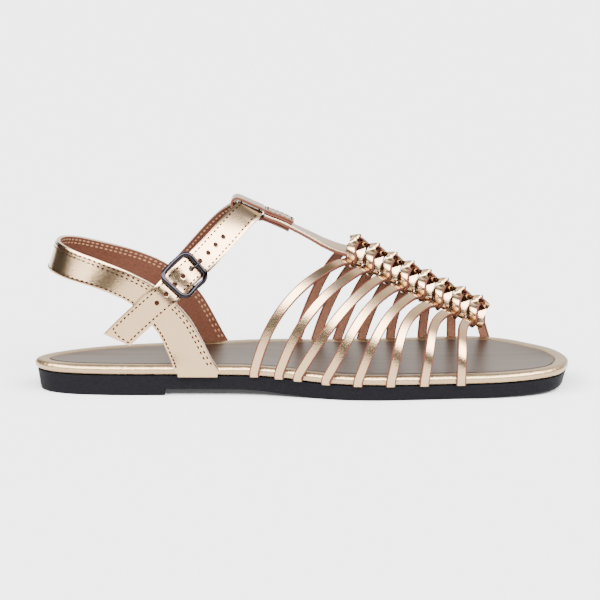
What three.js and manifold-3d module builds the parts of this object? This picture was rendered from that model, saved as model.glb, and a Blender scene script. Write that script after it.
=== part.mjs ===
// A flat gladiator sandal for the right foot, fastened as it is worn and standing empty.
// Millimetres, +Z up, toe along +X, the outer side of the foot along -Y.
// Each piece of the shoe is one closed solid: a rubber outsole, a padded footbed with its sock,
// an upper of sixteen narrow straps knotted to a central bar, a heel strap, and an ankle strap
// with its loop, tab and buckle.
import * as THREE from 'three';
import { mergeVertices } from 'three/addons/utils/BufferGeometryUtils.js';
import Module from 'manifold-3d';

// Driving dimensions of the shoe
const length = 249;
const ballWidth = 88;
const ankleHeight = 87;
const clearance = 0.3;

// Outsole
const heelHeight = 9.8;
const toeSpring = 1.9;
const archLift = 3.2;
const archStart = 0.244;
const archEnd = 0.583;
const springStart = 0.734;
const soleInset = 1;
const soleDraft = 1.6;
const soleRound = 1;

// Footbed and sock
const bedThick = 4.6;
const borderWidth = 6.5;
const recessDepth = 1.4;
const sockThick = 1.3;
const sockDish = 0.9;

// Side straps, central bar and knots
const strapWidth = 4.5;
const strapThick = 1.5;
const barWidth = 11;
const barThick = 1.8;
const knotCount = 8;
const knotPitch = 9.05;
const knotHalf = 7.6;
const knotHeight = 6;
const bandWidth = 4.3;
const bandThick = 1.1;
const columnRoll = THREE.MathUtils.degToRad(9);

// Heel strap, ankle strap and loop
const quarterWidth = 18.4;
const heelThick = 2.1;
const heelLean = THREE.MathUtils.degToRad(12);
const medialLead = 4;
const ankleWidth = 12.6;
const ankleThick = 2;
const holePitch = 5.6;
const holesEachWay = 4;
const holeRadius = 0.9;
const loopWidth = 11;
const loopThick = 1.2;
const legLength = 13.5;

// Buckle and its tab
const wire = 1.4;
const barWire = 1.1;
const buckleLong = 17;
const buckleCorner = 3.2;
const strapBulge = 1.6;
const bulgeReach = 5;
const tabWidth = 9;
const tabThick = 0.9;
const tabLength = 19;
const prongWidth = 1.3;
const prongThick = 0.8;
const prongHole = 4.8;

const gold = new THREE.Color(0xcbb592);
const charcoal = new THREE.Color(0x35343b);
const taupe = new THREE.Color(0x9a8468);
const gunmetal = new THREE.Color(0x55565c);

// Outline of the footbed seen from above: along is a share of the length, lateral and medial are
// shares of the ball width, from the heel to the toe.
const heelTip = -0.105;
const toeTip = -0.023;
const outline = [
  { along: 0.016, lateral: -0.205, medial: -0.005 },
  { along: 0.044, lateral: -0.264, medial: 0.070 },
  { along: 0.079, lateral: -0.298, medial: 0.138 },
  { along: 0.131, lateral: -0.318, medial: 0.208 },
  { along: 0.190, lateral: -0.325, medial: 0.260 },
  { along: 0.246, lateral: -0.325, medial: 0.295 },
  { along: 0.317, lateral: -0.325, medial: 0.335 },
  { along: 0.409, lateral: -0.335, medial: 0.398 },
  { along: 0.500, lateral: -0.386, medial: 0.477 },
  { along: 0.575, lateral: -0.441, medial: 0.523 },
  { along: 0.635, lateral: -0.453, medial: 0.544 },
  { along: 0.706, lateral: -0.439, medial: 0.574 },
  { along: 0.782, lateral: -0.416, medial: 0.609 },
  { along: 0.845, lateral: -0.402, medial: 0.602 },
  { along: 0.897, lateral: -0.375, medial: 0.517 },
  { along: 0.944, lateral: -0.325, medial: 0.364 },
  { along: 0.976, lateral: -0.252, medial: 0.233 },
  { along: 0.992, lateral: -0.162, medial: 0.114 },
];

// Height of the outsole's top: along is a share of the length, rise a share of the heel height.
const soleTopRows = [
  { along: 0, rise: 1 },
  { along: 0.24, rise: 1 },
  { along: 0.37, rise: 0.98 },
  { along: 0.41, rise: 0.97 },
  { along: 0.48, rise: 0.88 },
  { along: 0.52, rise: 0.79 },
  { along: 0.585, rise: 0.745 },
  { along: 0.71, rise: 0.725 },
  { along: 0.85, rise: 0.735 },
  { along: 1, rise: 0.857 },
];

// The side straps, from the instep to the toe: foot is a share of the length, square the fullness of
// the strap's arch, lean the share of its way forward that it makes evenly as it rises, and curl how
// late it makes the rest.
const sideStraps = {
  lateral: [
    { foot: 0.411, square: 2.6, lean: 0.30, curl: 3 },
    { foot: 0.457, square: 2.6, lean: 0.40, curl: 3 },
    { foot: 0.492, square: 2.7, lean: 0.60, curl: 3 },
    { foot: 0.544, square: 2.6, lean: 0.60, curl: 5 },
    { foot: 0.602, square: 2.9, lean: 0.45, curl: 4 },
    { foot: 0.662, square: 2.9, lean: 0.30, curl: 6 },
    { foot: 0.724, square: 3.0, lean: 0.30, curl: 9 },
    { foot: 0.792, square: 3.1, lean: 0.10, curl: 12 },
  ],
  medial: [
    { foot: 0.488, square: 2.4, lean: 0.70, curl: 3 },
    { foot: 0.525, square: 2.5, lean: 0.50, curl: 2 },
    { foot: 0.566, square: 2.7, lean: 0.60, curl: 2 },
    { foot: 0.613, square: 2.5, lean: 0.50, curl: 2 },
    { foot: 0.671, square: 2.6, lean: 0.10, curl: 2 },
    { foot: 0.733, square: 2.9, lean: 0.20, curl: 2 },
    { foot: 0.790, square: 3.0, lean: 0.30, curl: 6 },
    { foot: 0.855, square: 3.1, lean: 0.80, curl: 3 },
  ],
};

// Middle line of the central bar in side view, from the ankle strap down to the last knot: along is
// a share of the length, up a share of the ankle height.
const spineAcross = 0.034;
const spineRows = [
  { along: 0.360, up: 1.010 },
  { along: 0.401, up: 0.959 },
  { along: 0.430, up: 0.919 },
  { along: 0.460, up: 0.885 },
  { along: 0.490, up: 0.842 },
  { along: 0.516, up: 0.804 },
  { along: 0.540, up: 0.768 },
  { along: 0.564, up: 0.739 },
  { along: 0.595, up: 0.710 },
  { along: 0.710, up: 0.544 },
  { along: 0.826, up: 0.375 },
  { along: 0.870, up: 0.311 },
];
const strapCentreRow = 1;
const firstKnot = 0.585;

// A knot's strip in the column's own section, from the outer foot over the top: across is a share
// of the half width, up of the height, lean of the pitch towards the toe.
const archRows = [
  { across: 0.62, up: -0.12, lean: 0.36 },
  { across: 0.98, up: 0.20, lean: 0.22 },
  { across: 0.97, up: 0.60, lean: 0.07 },
  { across: 0.66, up: 0.95, lean: 0 },
  { across: 0.33, up: 1.03, lean: 0 },
  { across: 0, up: 0.90, lean: 0 },
];
const wallRows = [
  { across: 0.60, up: -0.12 },
  { across: 0.92, up: 0.18 },
  { across: 0.88, up: 0.62 },
  { across: 0.66, up: 0.86 },
];

// Half of the heel strap's middle line, from above the sole to the back of the heel: along is a
// share of the length, spread of the half distance between its feet, up of the ankle height and
// wide of the width at its feet.
const heelStart = 0.306;
const heelRows = [
  { along: 0.296, spread: 0.985, up: 0.195, wide: 0.95 },
  { along: 0.283, spread: 0.955, up: 0.275, wide: 0.93 },
  { along: 0.265, spread: 0.930, up: 0.376, wide: 0.89 },
  { along: 0.241, spread: 0.910, up: 0.460, wide: 0.82 },
  { along: 0.218, spread: 0.890, up: 0.525, wide: 0.75 },
  { along: 0.181, spread: 0.865, up: 0.588, wide: 0.69 },
  { along: 0.122, spread: 0.800, up: 0.652, wide: 0.69 },
  { along: 0.072, spread: 0.640, up: 0.692, wide: 0.73 },
  { along: 0.044, spread: 0.360, up: 0.711, wide: 0.76 },
];
const heelBack = { along: 0.035, up: 0.715, wide: 0.77 };

// The ankle strap's middle line: along and up as above, across a share of the ball width. The
// rows that lie on the heel strap take their distance from it.
const ankleRows = [
  { along: 0.158, up: 0.318, rides: 'lateral' },
  { along: 0.178, up: 0.376, rides: 'lateral' },
  { along: 0.212, up: 0.468, rides: 'lateral' },
  { along: 0.248, up: 0.562, rides: 'lateral' },
  { along: 0.280, up: 0.653, across: -0.325 },
  { along: 0.310, up: 0.722, across: -0.284 },
  { along: 0.347, up: 0.820, across: -0.195 },
  { along: 0.384, up: 0.921, across: -0.100 },
  { along: 0.4008, up: 0.958, across: -0.044 },
  { along: 0.401, up: 0.959, across: 0.034 },
  { along: 0.4008, up: 0.958, across: 0.112 },
  { along: 0.385, up: 0.921, across: 0.168 },
  { along: 0.356, up: 0.845, across: 0.236 },
  { along: 0.327, up: 0.750, across: 0.290 },
  { along: 0.283, up: 0.595, rides: 'medial' },
  { along: 0.258, up: 0.515, rides: 'medial' },
];
const buckleRow = 4;
const tipSkew = 0.4;
// Where the ankle strap crosses the heel strap on each side, as a share of the heel strap's line
const crossing = { lateral: 0.205, medial: 0.835 };

const wasm = await Module();
wasm.setup();
const up = new THREE.Vector3(0, 0, 1);
const sides = { lateral: -1, medial: 1 };

// Value of a table's column between its rows, on a smooth curve
function between(table, column, along) {
  const last = table.length - 1;
  let i = 0;
  while (i < last - 1 && along > table[i + 1].along) i += 1;
  const slope = (k) => {
    const a = table[Math.max(0, k - 1)];
    const b = table[Math.min(last, k + 1)];
    return (b[column] - a[column]) / (b.along - a.along);
  };
  const [p, q] = [table[i], table[i + 1]];
  const step = q.along - p.along;
  const t = THREE.MathUtils.clamp((along - p.along) / step, 0, 1);
  const rise = 3 * t * t - 2 * t * t * t;
  return p[column] * (1 - rise) + q[column] * rise
    + step * (slope(i) * t * (1 - t) * (1 - t) - slope(i + 1) * t * t * (1 - t));
}

// Closed mesh from vertices and triangles, with its faces turned outwards
function closedGeometry(points, triangles) {
  let volume = 0;
  for (const [a, b, c] of triangles) {
    volume += points[a].dot(new THREE.Vector3().crossVectors(points[b], points[c]));
  }
  const turned = volume < 0 ? triangles.map(([a, b, c]) => [a, c, b]) : triangles;
  const geometry = new THREE.BufferGeometry();
  geometry.setAttribute('position', new THREE.Float32BufferAttribute(
    points.flatMap((p) => [p.x, p.y, p.z]), 3));
  geometry.setIndex(turned.flat());
  return geometry;
}

function toSolid(geometry) {
  const bare = geometry.clone();
  bare.deleteAttribute('normal');
  bare.deleteAttribute('uv');
  const merged = mergeVertices(bare, 1e-4);
  return new wasm.Manifold(new wasm.Mesh({
    numProp: 3,
    vertProperties: new Float32Array(merged.attributes.position.array),
    triVerts: new Uint32Array(merged.index.array),
  }));
}

function toGeometry(solid) {
  const mesh = solid.getMesh();
  const geometry = new THREE.BufferGeometry();
  geometry.setAttribute('position', new THREE.BufferAttribute(mesh.vertProperties, 3));
  geometry.setIndex(new THREE.BufferAttribute(mesh.triVerts, 1));
  return geometry;
}

const joined = (geometries) => toGeometry(
  geometries.map(toSolid).reduce((whole, next) => whole.add(next)));

// Strip of leather: a flat section carried through its stations. Each has a point on the middle
// line, the way the face looks, a width and a thickness, and may give the way of its width.
function strip(stations, closed = false) {
  const count = stations.length;
  const at = (i) => stations[closed ? (i + count) % count : THREE.MathUtils.clamp(i, 0, count - 1)];
  const points = [];
  stations.forEach((station, i) => {
    const along = at(i + 1).point.clone().sub(at(i - 1).point).normalize();
    const face = station.face.clone().addScaledVector(along, -station.face.dot(along)).normalize();
    const side = station.side ?? new THREE.Vector3().crossVectors(along, face);
    for (const [a, b] of [[-1, -1], [1, -1], [1, 1], [-1, 1]]) {
      points.push(station.point.clone()
        .addScaledVector(side, a * station.width / 2)
        .addScaledVector(face, b * station.thick / 2));
    }
  });
  const triangles = [];
  const spans = closed ? count : count - 1;
  for (let i = 0; i < spans; i += 1) {
    const [p, q] = [4 * i, 4 * ((i + 1) % count)];
    for (let k = 0; k < 4; k += 1) {
      const next = (k + 1) % 4;
      triangles.push([p + k, q + k, q + next], [p + k, q + next, p + next]);
    }
  }
  if (!closed) {
    const end = 4 * (count - 1);
    triangles.push([0, 1, 2], [0, 2, 3], [end, end + 2, end + 1], [end, end + 3, end + 2]);
  }
  return closedGeometry(points, triangles);
}

// Outline of the footbed as one closed curve
const heelPoint = new THREE.Vector3(0, heelTip * ballWidth, 0);
const toePoint = new THREE.Vector3(length, toeTip * ballWidth, 0);
const edgePoint = (row, side) => new THREE.Vector3(row.along * length, row[side] * ballWidth, 0);
const rim = new THREE.CatmullRomCurve3([
  heelPoint,
  ...outline.map((row) => edgePoint(row, 'lateral')),
  toePoint,
  ...outline.map((row) => edgePoint(row, 'medial')).reverse(),
], true, 'centripetal');
const rimSteps = 2 * (outline.length + 1);

// Point of the outline and the way out from it; share runs from the heel to the toe
function rimFrame(side, share) {
  const t = side === 'lateral' ? share / 2 : 1 - share / 2;
  const along = rim.getTangent(t % 1);
  return { point: rim.getPoint(t % 1), out: new THREE.Vector3(along.y, -along.x, 0).normalize() };
}

function rimAt(side, along) {
  let [low, high] = [0, 1];
  for (let i = 0; i < 40; i += 1) {
    const middle = (low + high) / 2;
    if (rimFrame(side, middle).point.x < along * length) low = middle;
    else high = middle;
  }
  return rimFrame(side, low);
}

const soleTop = (x) => heelHeight * between(soleTopRows, 'rise', x / length);
const bedBase = (x) => soleTop(x) + clearance;

function soleBottom(x) {
  const share = Math.max(0, (x / length - springStart) / (1 - springStart));
  return toeSpring * share * share;
}

// Solid from rings stacked upwards: each ring is the outline drawn in by its inset, at a height
// worked out from its place along the shoe. Both ends are capped, dished in the middle.
function stack(rings, dish = { bottom: 0, top: 0 }) {
  const points = [];
  const side = (name, ring, i) => {
    const { point, out } = rimFrame(name, i / rimSteps);
    const placed = point.clone().addScaledVector(out, -ring.inset);
    placed.z = ring.height(placed.x);
    return placed;
  };
  const around = 2 * rimSteps;
  for (const ring of rings) {
    for (let i = 0; i <= rimSteps; i += 1) points.push(side('lateral', ring, i));
    for (let i = rimSteps - 1; i > 0; i -= 1) points.push(side('medial', ring, i));
  }
  const triangles = [];
  for (let r = 0; r < rings.length - 1; r += 1) {
    for (let i = 0; i < around; i += 1) {
      const [a, b] = [r * around + i, r * around + (i + 1) % around];
      triangles.push([a, b, b + around], [a, b + around, a + around]);
    }
  }
  const cap = (start, depth, flip) => {
    const middle = [];
    for (let i = 0; i <= rimSteps; i += 1) {
      const [p, q] = [start + i, start + (around - i) % around];
      if (p === q) {
        middle.push(p);
        continue;
      }
      const centre = points[p].clone().add(points[q]).multiplyScalar(0.5);
      centre.z -= depth * Math.min(1, points[p].distanceTo(points[q]) / (0.4 * ballWidth));
      middle.push(points.push(centre) - 1);
    }
    const face = (a, b, c) => {
      if (a !== b && b !== c && a !== c) triangles.push(flip ? [a, c, b] : [a, b, c]);
    };
    for (let i = 0; i < rimSteps; i += 1) {
      const [l0, l1] = [start + i, start + i + 1];
      const [m0, m1] = [start + (around - i) % around, start + around - i - 1];
      face(l0, l1, middle[i + 1]);
      face(l0, middle[i + 1], middle[i]);
      face(middle[i], middle[i + 1], m1);
      face(middle[i], m1, m0);
    }
  };
  cap(0, dish.bottom, true);
  cap((rings.length - 1) * around, dish.top, false);
  return closedGeometry(points, triangles);
}

// Rubber outsole: a flat heel, a recess under the arch with a step at its heel end, a flat
// forefoot and a slight toe spring
function outsoleGeometry() {
  const body = stack([
    { inset: soleInset + soleDraft + soleRound / 2, height: soleBottom },
    { inset: soleInset + soleDraft, height: (x) => soleBottom(x) + soleRound },
    { inset: soleInset, height: soleTop },
  ]);
  const recess = new THREE.Shape();
  recess.moveTo(archStart * length, -archLift);
  recess.lineTo(archStart * length, archLift);
  recess.bezierCurveTo(
    (archStart + 0.14) * length, archLift,
    (archEnd - 0.12) * length, 0,
    archEnd * length, 0);
  recess.lineTo(archEnd * length, -archLift);
  const cutter = new THREE.ExtrudeGeometry(recess, {
    depth: 2 * ballWidth, bevelEnabled: false, curveSegments: 8,
  });
  cutter.rotateX(Math.PI / 2);
  cutter.translate(0, ballWidth, 0);
  return toGeometry(toSolid(body).subtract(toSolid(cutter)));
}

// Padded footbed: a rolled edge, a flat border and a shallow recess for the sock
const rollRadius = bedThick / 2;
function footbedGeometry() {
  const roll = [-75, -35, 0, 40, 80].map((degrees) => {
    const angle = THREE.MathUtils.degToRad(degrees);
    return {
      inset: rollRadius * (1 - Math.cos(angle)),
      height: (x) => bedBase(x) + rollRadius * (1 + Math.sin(angle)),
    };
  });
  return stack([
    ...roll,
    { inset: borderWidth, height: (x) => bedBase(x) + bedThick },
    { inset: borderWidth + clearance, height: (x) => bedBase(x) + bedThick - recessDepth },
  ], { bottom: 0, top: sockDish });
}

function insoleGeometry() {
  const base = (x) => bedBase(x) + bedThick - recessDepth + clearance;
  const inset = borderWidth + 2 * clearance;
  return stack([
    { inset, height: base },
    { inset, height: (x) => base(x) + sockThick / 2 },
    { inset: inset + sockThick / 2, height: (x) => base(x) + sockThick },
  ], { bottom: sockDish, top: sockDish });
}

// Central bar and knots: a frame that runs along the shoe's ridge
const spine = new THREE.CatmullRomCurve3(spineRows.map((row) => new THREE.Vector3(
  row.along * length, spineAcross * ballWidth, row.up * ankleHeight)), false, 'centripetal');
spine.arcLengthDivisions = 400;
const spineLength = spine.getLength();

function spineDistance(along) {
  let [low, high] = [0, 1];
  for (let i = 0; i < 40; i += 1) {
    const middle = (low + high) / 2;
    if (spine.getPointAt(middle).x < along * length) low = middle;
    else high = middle;
  }
  return low * spineLength;
}

const knotStart = spineDistance(firstKnot);
const strapCentre = spineDistance(spineRows[strapCentreRow].along);

function spineFrame(distance) {
  const share = distance / spineLength;
  const point = spine.getPointAt(THREE.MathUtils.clamp(share, 0, 1));
  const along = spine.getTangentAt(THREE.MathUtils.clamp(share, 0, 1));
  const level = new THREE.Vector3(0, 1, 0);
  const face = new THREE.Vector3().crossVectors(along, level);
  const roll = columnRoll * THREE.MathUtils.smoothstep(distance, knotStart - 3 * knotPitch, knotStart);
  level.applyAxisAngle(along, roll);
  face.applyAxisAngle(along, roll);
  return { point, along, side: level, face };
}

function onSpine(distance, across, rise) {
  const { point, side, face } = spineFrame(distance);
  return point.clone().addScaledVector(side, across).addScaledVector(face, rise);
}

const knotAt = (k) => knotStart + (k + 0.25) * knotPitch;
const barStart = strapCentre + ankleWidth / 2 + 4 * clearance;
const barEnd = knotStart + knotCount * knotPitch;

function barStrip() {
  const count = 22;
  const stations = [];
  for (let i = 0; i <= count; i += 1) {
    const distance = barStart + (barEnd - barStart) * i / count;
    const { point, face } = spineFrame(distance);
    stations.push({ point, face, width: barWidth, thick: barThick });
  }
  return strip(stations);
}

// A side strap: it starts under the rolled edge of the footbed, goes up beside it and leans in
// over the foot to the bar, drawn towards its knot.
function wrapPoint(edge, angle, thick) {
  const reach = rollRadius + clearance + thick / 2;
  const centre = edge.point.clone().addScaledVector(edge.out, -rollRadius);
  centre.z = bedBase(edge.point.x) + rollRadius;
  return centre.addScaledVector(edge.out, reach * Math.cos(angle))
    .addScaledVector(up, reach * Math.sin(angle));
}

const wrapAngles = [-34, -15].map(THREE.MathUtils.degToRad);

// Stations of a strap's foot, where it curls in under the footbed's edge
function footStations(edge, width, thick, side) {
  return wrapAngles.map((angle) => ({
    point: wrapPoint(edge, angle, thick),
    face: edge.out.clone().multiplyScalar(Math.cos(angle)).addScaledVector(up, Math.sin(angle)),
    side,
    width,
    thick,
  }));
}

function sideStrap(side, k) {
  const { foot: start, square: power, lean, curl } = sideStraps[side][k];
  const edge = rimAt(side, start);
  const foot = wrapPoint(edge, 0, strapThick);
  const top = onSpine(knotAt(k), sides[side] * barWidth / 4, 0);
  const stations = footStations(edge, strapWidth, strapThick);
  const slope = spineFrame(knotAt(k)).face;
  const steps = 10;
  for (let i = 0; i <= steps; i += 1) {
    const turn = i / steps * Math.PI / 2;
    const [c, s] = [Math.max(0, Math.cos(turn)), Math.sin(turn)];
    const radius = (c ** power + s ** power) ** (-1 / power);
    const x = THREE.MathUtils.lerp(foot.x, top.x, lean * s + (1 - lean) * s ** curl);
    const base = rimAt(side, x / length);
    const hug = wrapPoint(base, 0, strapThick);
    const point = new THREE.Vector3(
      x,
      THREE.MathUtils.lerp(top.y, hug.y, c * radius),
      THREE.MathUtils.lerp(foot.z, top.z, s * radius));
    const lift = s ** (power - 1) / (top.z - foot.z);
    const outward = c ** (power - 1) / Math.abs(top.y - foot.y);
    const face = base.out.clone().multiplyScalar(outward);
    face.add(new THREE.Vector3(slope.x / slope.z * lift, 0, lift)).normalize();
    stations.push({ point, face, width: strapWidth, thick: strapThick });
  }
  return strip(stations);
}

// A knot: one strip arched over both sides of the bar, and behind it a pair of walls that stand
// open at the top
function knotArch(k) {
  const near = archRows.map((row) => ({ ...row, hand: -1 }));
  const far = archRows.slice(0, -1).reverse().map((row) => ({ ...row, hand: 1 }));
  const start = knotStart + k * knotPitch + bandWidth / 2;
  return strip([...near, ...far].map((row) => {
    const distance = start + row.lean * knotPitch;
    const point = onSpine(distance, row.hand * row.across * knotHalf, row.up * knotHeight);
    const face = point.clone().sub(onSpine(distance, 0, knotHeight / 3));
    return { point, face, width: bandWidth, thick: bandThick };
  }));
}

function knotWall(k, hand) {
  const distance = knotStart + (k + 0.5) * knotPitch + bandWidth / 2;
  return strip(wallRows.map((row) => {
    const point = onSpine(distance, hand * row.across * knotHalf, row.up * knotHeight);
    const face = point.clone().sub(onSpine(distance, 0, knotHeight / 3));
    return { point, face, width: bandWidth, thick: bandThick };
  }));
}

function upperGeometry() {
  const pieces = [barStrip()];
  for (let k = 0; k < knotCount; k += 1) {
    pieces.push(sideStrap('lateral', k), sideStrap('medial', k));
    pieces.push(knotArch(k), knotWall(k, -1), knotWall(k, 1));
  }
  return joined(pieces);
}

// Loop over the ankle strap: one strip folded round it, with its two ends on both faces of the bar
function loopGeometry() {
  const eye = ankleThick / 2 + 3 * clearance + loopThick / 2;
  const leg = barThick / 2 + clearance + loopThick / 2;
  const eyeEnd = strapCentre + ankleWidth / 2;
  const legEnd = barStart + legLength;
  const turnCentre = strapCentre - ankleWidth / 2;
  const stations = [];
  const place = (distance, rise, face) => {
    stations.push({ point: onSpine(distance, 0, rise), face, width: loopWidth, thick: loopThick });
  };
  const legs = [
    [legEnd, leg],
    [(legEnd + barStart) / 2, leg],
    [barStart, leg],
    [eyeEnd, eye],
    [strapCentre, eye],
  ];
  for (const [distance, rise] of legs) place(distance, rise, spineFrame(distance).face);
  const { along, face } = spineFrame(turnCentre);
  for (let i = 0; i <= 6; i += 1) {
    const angle = Math.PI / 2 + i * Math.PI / 6;
    const way = along.clone().multiplyScalar(Math.cos(angle)).addScaledVector(face, Math.sin(angle));
    stations.push({
      point: onSpine(turnCentre, 0, 0).addScaledVector(way, eye),
      face: way,
      width: loopWidth,
      thick: loopThick,
    });
  }
  for (const [distance, rise] of legs.reverse()) {
    place(distance, -rise, spineFrame(distance).face.clone().negate());
  }
  return strip(stations);
}

// Heel strap: up from the sole on both sides and round the back of the heel in one piece
const heelFeet = {
  lateral: rimAt('lateral', heelStart),
  medial: rimAt('medial', heelStart + medialLead / length),
};
const heelReach = clearance + heelThick / 2;
const heelSpan = {
  lateral: heelFeet.lateral.point.y - heelReach,
  medial: heelFeet.medial.point.y + heelReach,
};
const heelMiddle = (heelSpan.lateral + heelSpan.medial) / 2;

function heelStrapPoint(side, row) {
  const lead = side === 'medial' ? medialLead : 0;
  const share = (row.along - heelBack.along) / (heelStart - heelBack.along);
  return new THREE.Vector3(
    row.along * length + lead * share,
    THREE.MathUtils.lerp(heelMiddle, heelSpan[side], row.spread ?? 0),
    row.up * ankleHeight);
}

const heelCurve = new THREE.CatmullRomCurve3([
  wrapPoint(heelFeet.lateral, 0, heelThick),
  ...heelRows.map((row) => heelStrapPoint('lateral', row)),
  heelStrapPoint('lateral', heelBack),
  ...heelRows.map((row) => heelStrapPoint('medial', row)).reverse(),
  wrapPoint(heelFeet.medial, 0, heelThick),
], false, 'centripetal');

// Width of the heel strap where its line has come a share of the way round
const heelWidths = [1, ...heelRows.map((row) => row.wide), heelBack.wide];
function heelWidthAt(rise) {
  const place = rise * (heelWidths.length - 1);
  const row = Math.min(Math.floor(place), heelWidths.length - 2);
  return quarterWidth * THREE.MathUtils.lerp(heelWidths[row], heelWidths[row + 1], place - row);
}

// The way of the heel strap's width at its feet: level, towards the toe
function footLevel(side) {
  return new THREE.Vector3().crossVectors(up, heelFeet[side].out).multiplyScalar(-sides[side]);
}

// Point, outward face and width direction of the heel strap at a share of its line
function heelFrame(t) {
  const point = heelCurve.getPoint(t);
  const along = heelCurve.getTangent(t);
  const plan = along.clone().setZ(0).normalize();
  const foot = heelFeet[t < 0.5 ? 'lateral' : 'medial'].out;
  const rise = 1 - Math.abs(2 * t - 1);
  const blend = THREE.MathUtils.smoothstep(rise, 0, 0.25);
  const face = foot.clone().lerp(new THREE.Vector3(-plan.y, plan.x, 0), blend).normalize();
  const lean = heelLean * THREE.MathUtils.smoothstep(rise, 0.3, 0.8);
  face.multiplyScalar(Math.cos(lean)).addScaledVector(up, Math.sin(lean));
  face.addScaledVector(along, -face.dot(along)).normalize();
  const square = new THREE.Vector3().crossVectors(along, face);
  const side = footLevel(t < 0.5 ? 'lateral' : 'medial').lerp(square, blend).normalize();
  return { point, face, side, square, rise };
}

function heelGeometry() {
  const foot = (side) => footStations(heelFeet[side], quarterWidth, heelThick, footLevel(side));
  const stations = foot('lateral');
  const steps = 4 * heelRows.length;
  for (let i = 0; i <= steps; i += 1) {
    const { point, face, side, square, rise } = heelFrame(i / steps);
    const width = heelWidthAt(rise) / side.dot(square);
    stations.push({ point, face, side, width, thick: heelThick });
  }
  stations.push(...foot('medial').reverse());
  return strip(stations);
}

// Ankle strap: over the instep, through the buckle and down across the heel strap to its tip
const tabStack = 2 * tabThick + clearance;
const rideOut = {
  lateral: heelThick / 2 + 2 * clearance + tabStack + 2 * clearance + ankleThick / 2,
  medial: heelThick / 2 + clearance + ankleThick / 2,
};
const crossFrame = { lateral: heelFrame(crossing.lateral), medial: heelFrame(crossing.medial) };

function anklePoint(row) {
  const point = new THREE.Vector3(row.along * length, (row.across ?? 0) * ballWidth,
    row.up * ankleHeight);
  if (row.rides) {
    const { point: origin, face } = crossFrame[row.rides];
    const reach = rideOut[row.rides] - face.dot(point.clone().sub(origin));
    point.y += reach / face.y;
  }
  return point;
}

function ankleFace(row) {
  if (row.rides) return crossFrame[row.rides].face;
  const crown = spineFrame(strapCentre).face;
  const away = anklePoint(row).sub(new THREE.Vector3(0, spineAcross * ballWidth, 0));
  const flat = new THREE.Vector3(0, Math.sign(away.y), 0);
  return flat.lerp(crown, Math.exp(-((away.y / (0.2 * ballWidth)) ** 2))).normalize();
}

const ankleCurve = new THREE.CatmullRomCurve3(ankleRows.map(anklePoint), false, 'centripetal');
const ankleFaces = new THREE.CatmullRomCurve3(ankleRows.map(ankleFace), false, 'centripetal');
ankleCurve.arcLengthDivisions = 400;
const ankleLength = ankleCurve.getLength();

function ankleFrame(distance) {
  const t = ankleCurve.getUtoTmapping(0, THREE.MathUtils.clamp(distance, 0, ankleLength));
  const point = ankleCurve.getPoint(t);
  const along = ankleCurve.getTangent(t);
  const face = ankleFaces.getPoint(t);
  face.addScaledVector(along, -face.dot(along)).normalize();
  return { point, along, face, side: new THREE.Vector3().crossVectors(along, face) };
}

function ankleDistance(row) {
  const target = row / (ankleRows.length - 1);
  let [low, high] = [0, ankleLength];
  for (let i = 0; i < 40; i += 1) {
    const middle = (low + high) / 2;
    if (ankleCurve.getUtoTmapping(0, middle) < target) low = middle;
    else high = middle;
  }
  return low;
}

const buckleAt = ankleDistance(buckleRow);
const bulge = (along) => strapBulge * Math.exp(-((along / bulgeReach) ** 2));

// Point near the buckle: along the strap towards the instep, across it and out from it
function onAnkle(along, across, out) {
  const { point, side, face } = ankleFrame(buckleAt + along);
  return point.clone().addScaledVector(side, across).addScaledVector(face, out);
}

function ankleGeometry() {
  const count = 44;
  const distances = [];
  for (let i = 0; i <= count; i += 1) distances.push(ankleLength * i / count);
  const clear = distances.filter((distance) => Math.abs(distance - buckleAt) > 2 * bulgeReach);
  for (let i = -6; i <= 6; i += 1) clear.push(buckleAt + i / 6 * 1.8 * bulgeReach);
  const stations = [];
  for (const distance of clear.sort((a, b) => a - b)) {
    const { point, face } = ankleFrame(distance);
    point.addScaledVector(face, bulge(distance - buckleAt));
    stations.push({ point, face, width: ankleWidth, thick: ankleThick });
  }
  const tip = ankleFrame(0);
  stations[0].side = tip.side.addScaledVector(tip.along, tipSkew);
  let strap = toSolid(strip(stations));
  for (let k = -holesEachWay; k <= holesEachWay; k += 1) {
    const along = prongHole + k * holePitch;
    const { point, face } = ankleFrame(buckleAt + along);
    const hole = new THREE.CylinderGeometry(holeRadius, holeRadius, 6 * ankleThick, 8);
    if (k === 0) hole.scale(1 + 2 * clearance, 1, 1 + 2 * clearance);
    hole.applyQuaternion(new THREE.Quaternion().setFromUnitVectors(new THREE.Vector3(0, 1, 0), face));
    hole.translate(point.x, point.y, point.z);
    strap = strap.subtract(toSolid(hole));
  }
  return toGeometry(strap);
}

// Buckle: a rounded frame that lies over the strap at both ends and dips to its centre bar
// beneath the strap
const ringRadius = barWire * Math.SQRT1_2 + clearance + tabThick / 2;
const barLevel = strapBulge - ankleThick / 2 - clearance - tabThick / 2 - ringRadius;
const frameHalf = { along: (buckleLong - wire) / 2, across: ankleWidth / 2 + clearance + wire / 2 };
const endLevel = bulge(frameHalf.along - buckleCorner) + ankleThick / 2 + clearance + wire / 2;

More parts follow.
